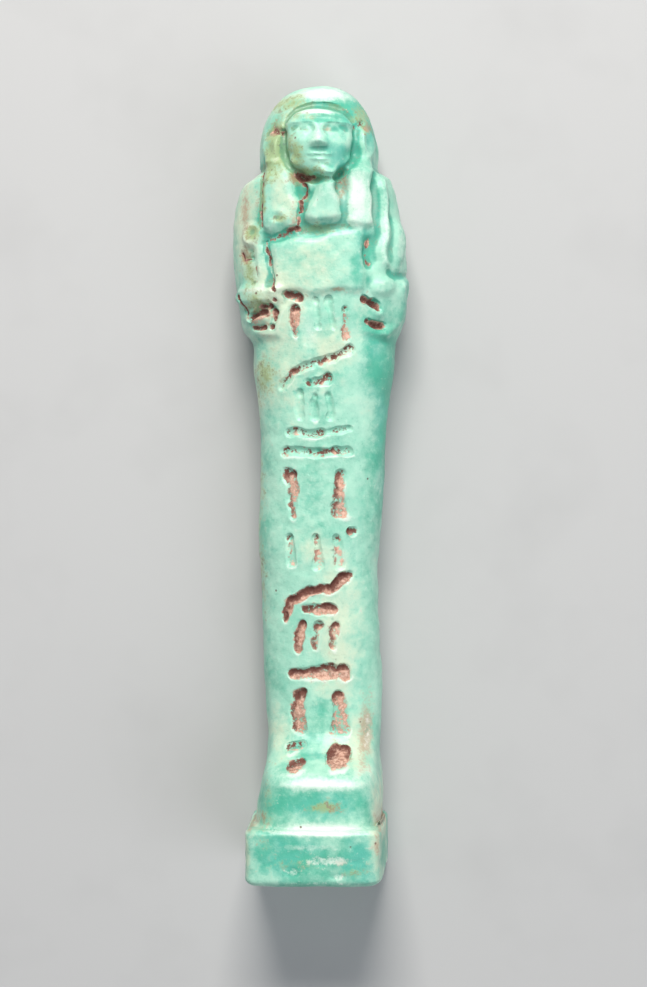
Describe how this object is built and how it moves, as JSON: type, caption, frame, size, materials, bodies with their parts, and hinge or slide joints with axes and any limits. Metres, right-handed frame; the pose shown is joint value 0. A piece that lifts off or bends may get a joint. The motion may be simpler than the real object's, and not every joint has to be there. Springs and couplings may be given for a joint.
{
  "type": "ushabti figurine",
  "caption": "Small glazed faience ushabti: a mummy-shaped figure with wig, false beard, folded arms, back pillar and foot block.",
  "frame": {"origin": "middle of the outline on the plane that the flat back pillar lies on", "axes": "+Y towards the crown of the head, -Y towards the underside of the foot block, +Z out of the front of the figure"},
  "size_m": [0.024, 0.105, 0.021],
  "materials": {
    "faience": "turquoise-green glaze worn pale on the high places, with red-brown earth left in the deep cuts"
  },
  "bodies": {
    "root": {"ushabti": "faience"}
  },
  "joints": []
}
